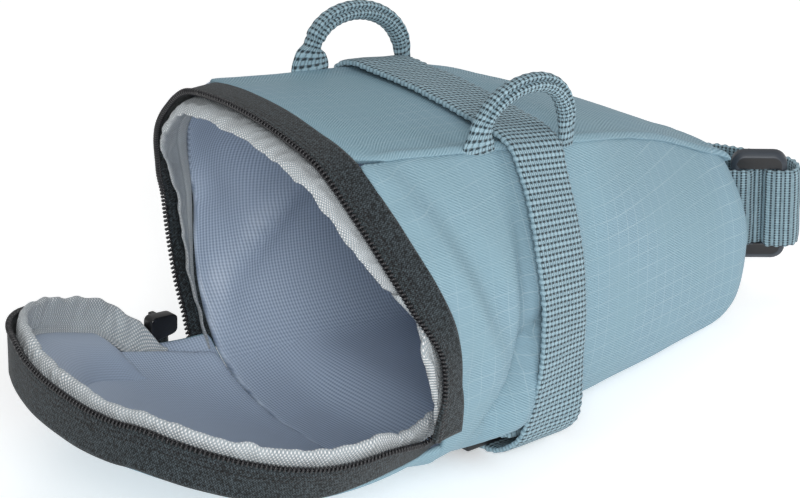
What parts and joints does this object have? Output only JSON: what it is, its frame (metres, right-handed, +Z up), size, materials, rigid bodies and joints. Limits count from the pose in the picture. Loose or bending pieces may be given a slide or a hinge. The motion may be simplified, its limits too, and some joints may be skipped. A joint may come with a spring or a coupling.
{
  "type": "bicycle saddle bag",
  "caption": "Soft cloth wedge bag for under a bicycle saddle, with a zipped tail lid lying open, a webbing strap with loops for the saddle rails and a strap at the nose for the seat post.",
  "frame": {"origin": "on the floor, on the flat strip of the underside, below the front half of the bag", "axes": "+X from the tail opening to the nose, +Y to the side away from the camera, +Z up from the floor"},
  "size_m": [0.2236, 0.1101, 0.0957],
  "materials": {
    "cloth": "steel-blue coated ripstop nylon, matt with a faint lighter grid",
    "lining": "blue-grey coated lining with a soft sheen",
    "zip_tape": "charcoal herringbone tape",
    "zip_coil": "black nylon coil",
    "binding": "pale grey ribbed edge binding",
    "zip_slider": "black painted zinc",
    "webbing": "grey-blue basket-weave webbing",
    "buckle_plastic": "black moulded plastic",
    "slide_plastic": "dark grey satin moulded plastic"
  },
  "bodies": {
    "root": {"body_wrap": "cloth", "top_panel": "cloth", "lid_panel": "cloth", "lid_lining": "lining", "body_zip_tape": "zip_tape", "lid_zip_tape": "zip_tape", "body_zip_coil": "zip_coil", "lid_zip_coil": "zip_coil", "body_binding": "binding", "lid_binding": "binding", "zip_slider": "zip_slider", "main_strap": "webbing", "strap_buckle": "buckle_plastic", "rail_loop_near": "webbing", "rail_loop_far": "webbing", "nose_strap": "webbing", "nose_slide": "slide_plastic"}
  },
  "joints": []
}
